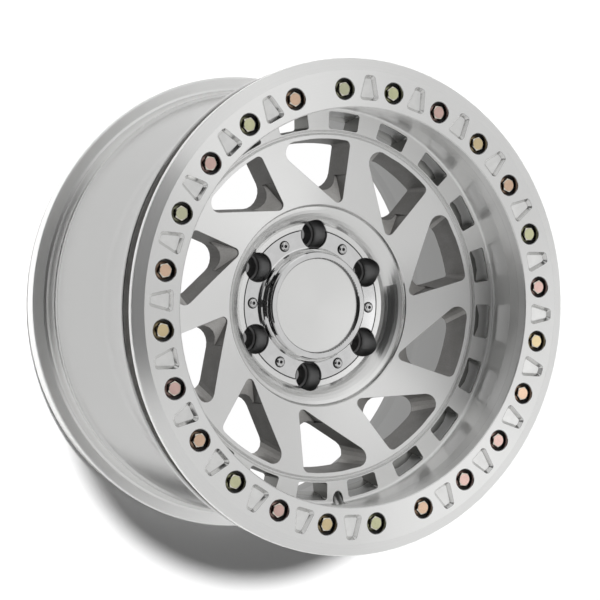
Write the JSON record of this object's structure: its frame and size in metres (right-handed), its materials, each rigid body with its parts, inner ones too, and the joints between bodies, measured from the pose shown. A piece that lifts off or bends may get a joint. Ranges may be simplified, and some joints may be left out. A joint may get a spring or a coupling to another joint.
{
  "type": "car wheel",
  "caption": "Off-road aluminium car wheel with slanted windows, a bolted bead ring round its face and a screwed centre cap.",
  "frame": {"origin": "centre of the hub mounting pad, on the wheel's axis", "axes": "+Z along the wheel's axis out of its face, +Y to the top of the face as the picture shows it, +X to the right"},
  "size_m": [0.4703, 0.4704, 0.264],
  "materials": {
    "wheel_metal": "polished",
    "ring_metal": "turned",
    "cap_metal": "polished",
    "bolt_zinc": "yellow zinc",
    "screw_steel": "bright"
  },
  "bodies": {
    "root": {"wheel": "wheel_metal", "beadlock_ring": "ring_metal", "centre_cap": "cap_metal", "ring_bolt_01": "bolt_zinc", "ring_bolt_02": "bolt_zinc", "ring_bolt_03": "bolt_zinc", "ring_bolt_04": "bolt_zinc", "ring_bolt_05": "bolt_zinc", "ring_bolt_06": "bolt_zinc", "ring_bolt_07": "bolt_zinc", "ring_bolt_08": "bolt_zinc", "ring_bolt_09": "bolt_zinc", "ring_bolt_10": "bolt_zinc", "ring_bolt_11": "bolt_zinc", "ring_bolt_12": "bolt_zinc", "ring_bolt_13": "bolt_zinc", "ring_bolt_14": "bolt_zinc", "ring_bolt_15": "bolt_zinc", "ring_bolt_16": "bolt_zinc", "ring_bolt_17": "bolt_zinc", "ring_bolt_18": "bolt_zinc", "ring_bolt_19": "bolt_zinc", "ring_bolt_20": "bolt_zinc", "ring_bolt_21": "bolt_zinc", "ring_bolt_22": "bolt_zinc", "ring_bolt_23": "bolt_zinc", "ring_bolt_24": "bolt_zinc", "cap_screw_1": "screw_steel", "cap_screw_2": "screw_steel", "cap_screw_3": "screw_steel", "cap_screw_4": "screw_steel", "cap_screw_5": "screw_steel", "cap_screw_6": "screw_steel"}
  },
  "joints": []
}
